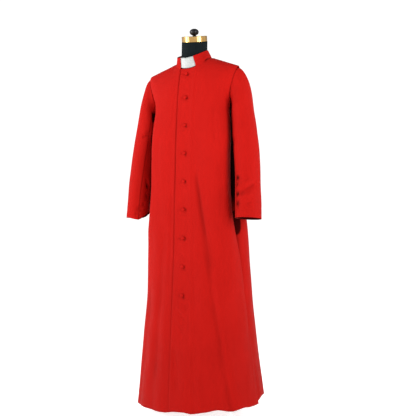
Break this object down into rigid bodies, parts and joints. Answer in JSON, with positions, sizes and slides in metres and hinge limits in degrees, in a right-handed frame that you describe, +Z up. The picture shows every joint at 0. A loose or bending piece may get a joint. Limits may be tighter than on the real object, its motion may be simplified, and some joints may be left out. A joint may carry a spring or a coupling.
{
  "type": "cassock on dress form",
  "caption": "Full-length single-breasted cassock with a tab collar, buttoned and worn by a limbless dress form on a round base plate",
  "frame": {"origin": "Middle of the underside of the dress form's base plate, on the floor", "axes": "+Z up, -Y the way the front of the cassock faces, +X to the wearer's left"},
  "size_m": [0.6156, 0.4555, 1.6468],
  "materials": {
    "cloth": "twill gabardine, soft sheen",
    "tab": "smooth white collar tab",
    "button": "covered in the cassock's cloth",
    "jersey": "fine black jersey",
    "cap": "polished",
    "knob": "gloss black",
    "stand": "satin white enamel"
  },
  "bodies": {
    "root": {"front_left": "cloth", "front_right": "cloth", "back_left": "cloth", "back_right": "cloth", "top_sleeve_left": "cloth", "under_sleeve_left": "cloth", "top_sleeve_right": "cloth", "under_sleeve_right": "cloth", "collar": "cloth", "collar_tab": "tab", "button_1": "button", "button_2": "button", "button_3": "button", "button_4": "button", "button_5": "button", "button_6": "button", "button_7": "button", "button_8": "button", "button_9": "button", "form_torso": "jersey", "neck_cap": "cap", "neck_knob": "knob", "stand_pole": "stand", "stand_base": "stand"}
  },
  "joints": []
}
